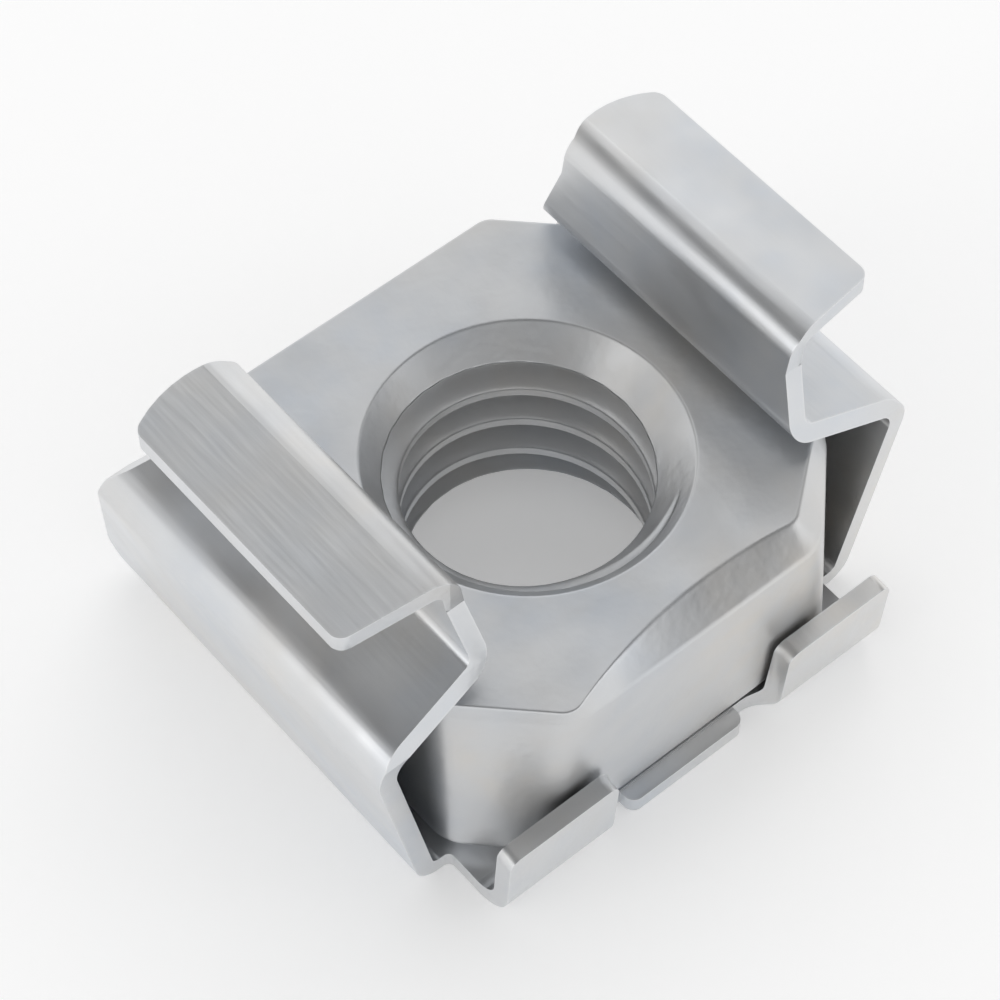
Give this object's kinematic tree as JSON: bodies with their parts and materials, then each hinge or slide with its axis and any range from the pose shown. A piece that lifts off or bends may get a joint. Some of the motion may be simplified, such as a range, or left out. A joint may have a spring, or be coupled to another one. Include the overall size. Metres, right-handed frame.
{
  "type": "nut retainer",
  "caption": "Square threaded nut held loosely in a folded spring-steel cage whose hooked ears clip into a square panel hole.",
  "frame": {"origin": "middle of the cage's underside, in the plane the base rests on", "axes": "+Z along the thread, out through the ears to the panel side; X across the two ears; -Y towards the flanges that the nut lies nearest to"},
  "size_m": [0.0132, 0.0116, 0.0085],
  "materials": {
    "cage": "bright zinc plate, satin",
    "nut": "zinc plate over cold-formed steel, satin"
  },
  "bodies": {
    "root": {"cage": "cage", "nut": "nut"}
  },
  "joints": []
}
